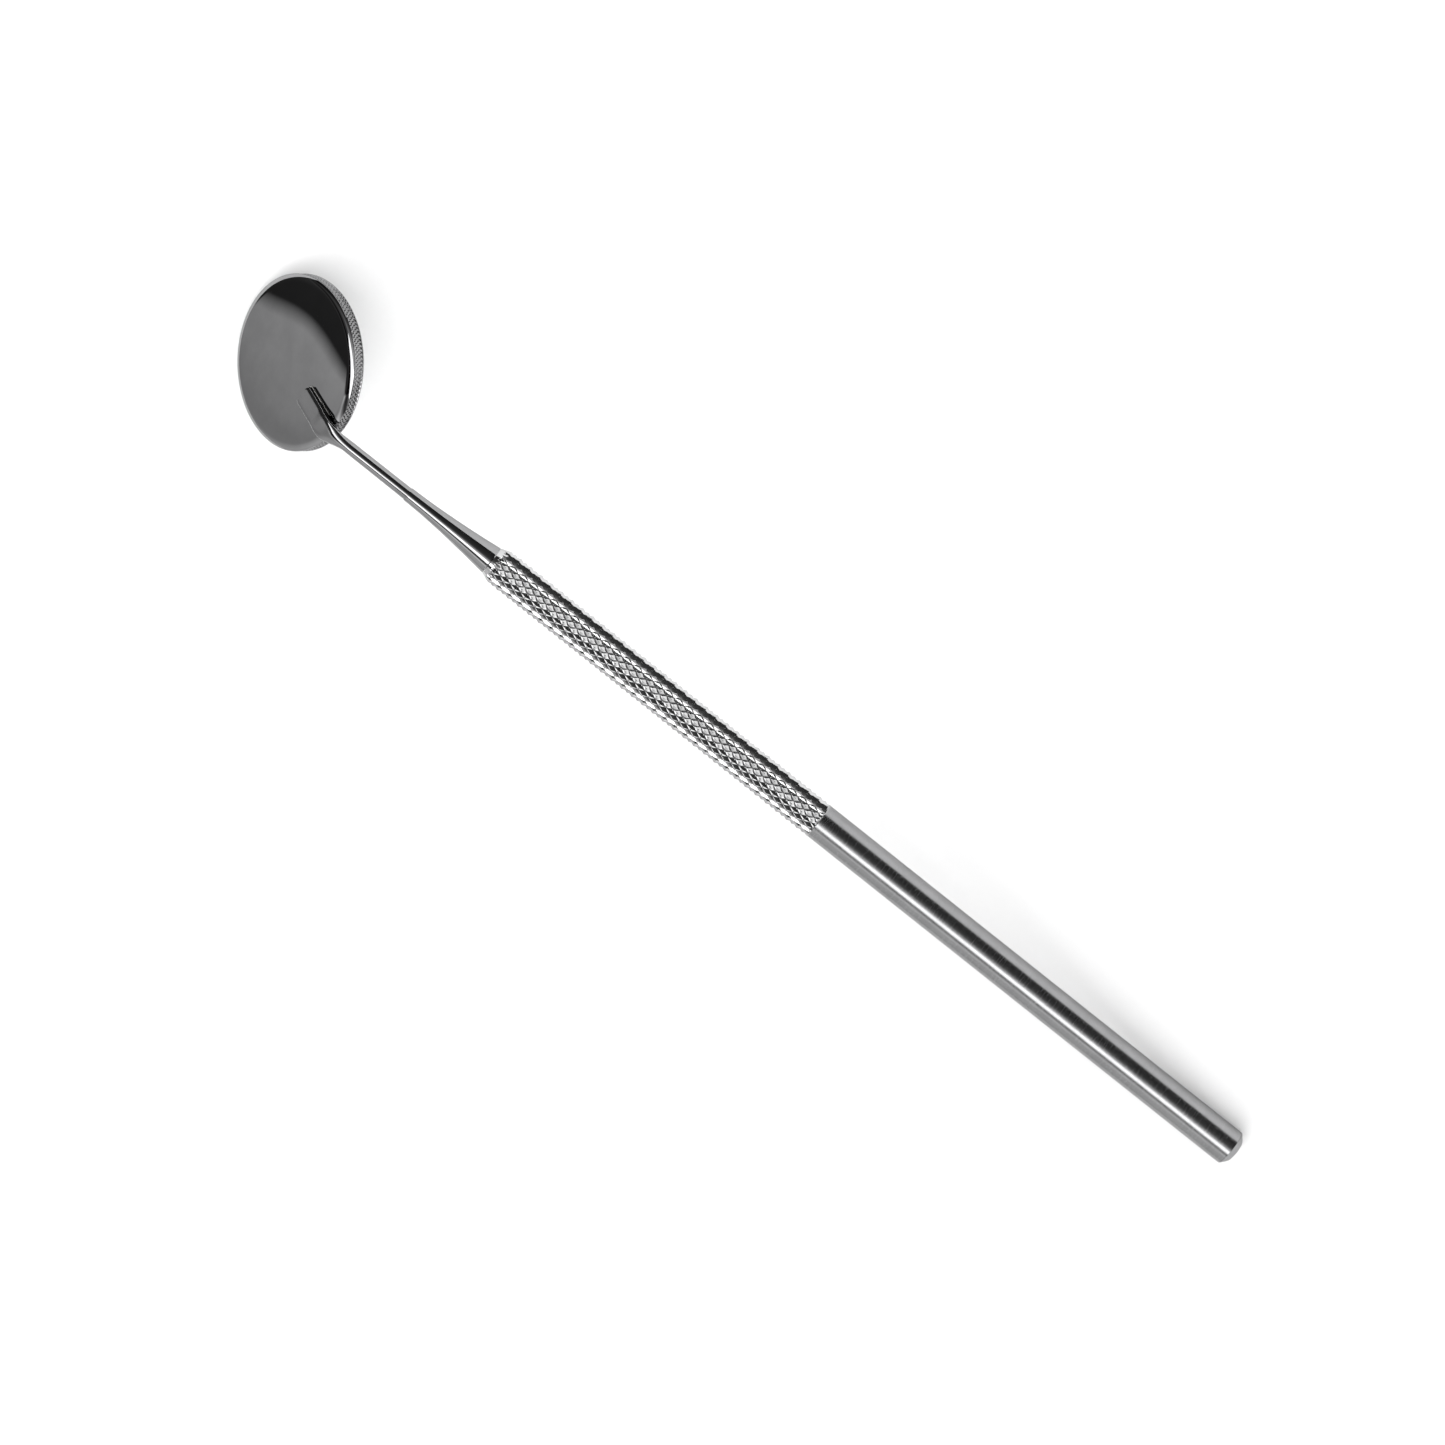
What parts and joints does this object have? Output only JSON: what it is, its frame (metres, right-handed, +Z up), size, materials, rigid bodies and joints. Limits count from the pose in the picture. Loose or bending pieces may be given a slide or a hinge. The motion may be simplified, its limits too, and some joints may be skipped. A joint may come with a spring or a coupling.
{
  "type": "mouth mirror",
  "caption": "Dental mouth mirror: round knurled handle with a round mirror head on a bent stem that screws into it.",
  "frame": {"origin": "middle of the footprint, on the surface that the mirror lies on", "axes": "+X towards the mirror head, along the mirror as it lies; +Z up, on the side of the mirror's back; +Y across"},
  "size_m": [0.1692, 0.023, 0.0143],
  "materials": {
    "handle_steel": "polished stainless steel, knurled at the grip",
    "thread_steel": "turned stainless steel",
    "stem_steel": "polished stainless steel",
    "braze_metal": "silver braze, ground smooth",
    "head_steel": "polished stainless steel",
    "bezel_steel": "finely serrated stainless steel",
    "backing_card": "matt packing disc",
    "mirror_face": "front-surface coated glass",
    "seal_compound": "smooth cured sealing compound"
  },
  "bodies": {
    "handle": {"handle_tube": "handle_steel", "end_plug": "handle_steel", "thread_socket": "thread_steel"},
    "screw_stub": {"threaded_stub": "thread_steel"},
    "mirror_head": {"mirror_stem": "stem_steel", "foot_braze": "braze_metal", "head_cup": "head_steel", "bezel_ring": "bezel_steel", "backing_pad": "backing_card", "mirror_glass": "mirror_face", "edge_seal": "seal_compound"}
  },
  "joints": [
    {"name": "thread_travel", "type": "slide", "parent": "handle", "child": "screw_stub", "axis": [0.9971, 0, 0.0765], "range_m": [0, 0.00563]},
    {"name": "thread_turn", "type": "hinge", "parent": "screw_stub", "child": "mirror_head", "pos_m": [0.03832, 0, 0.0118], "axis": [0.9971, 0, 0.0765], "range_deg": [0, 4500]}
  ],
  "couplings": [
    {"joint": "thread_travel", "follows": "thread_turn", "m_per_rad": 0.00007162}
  ]
}
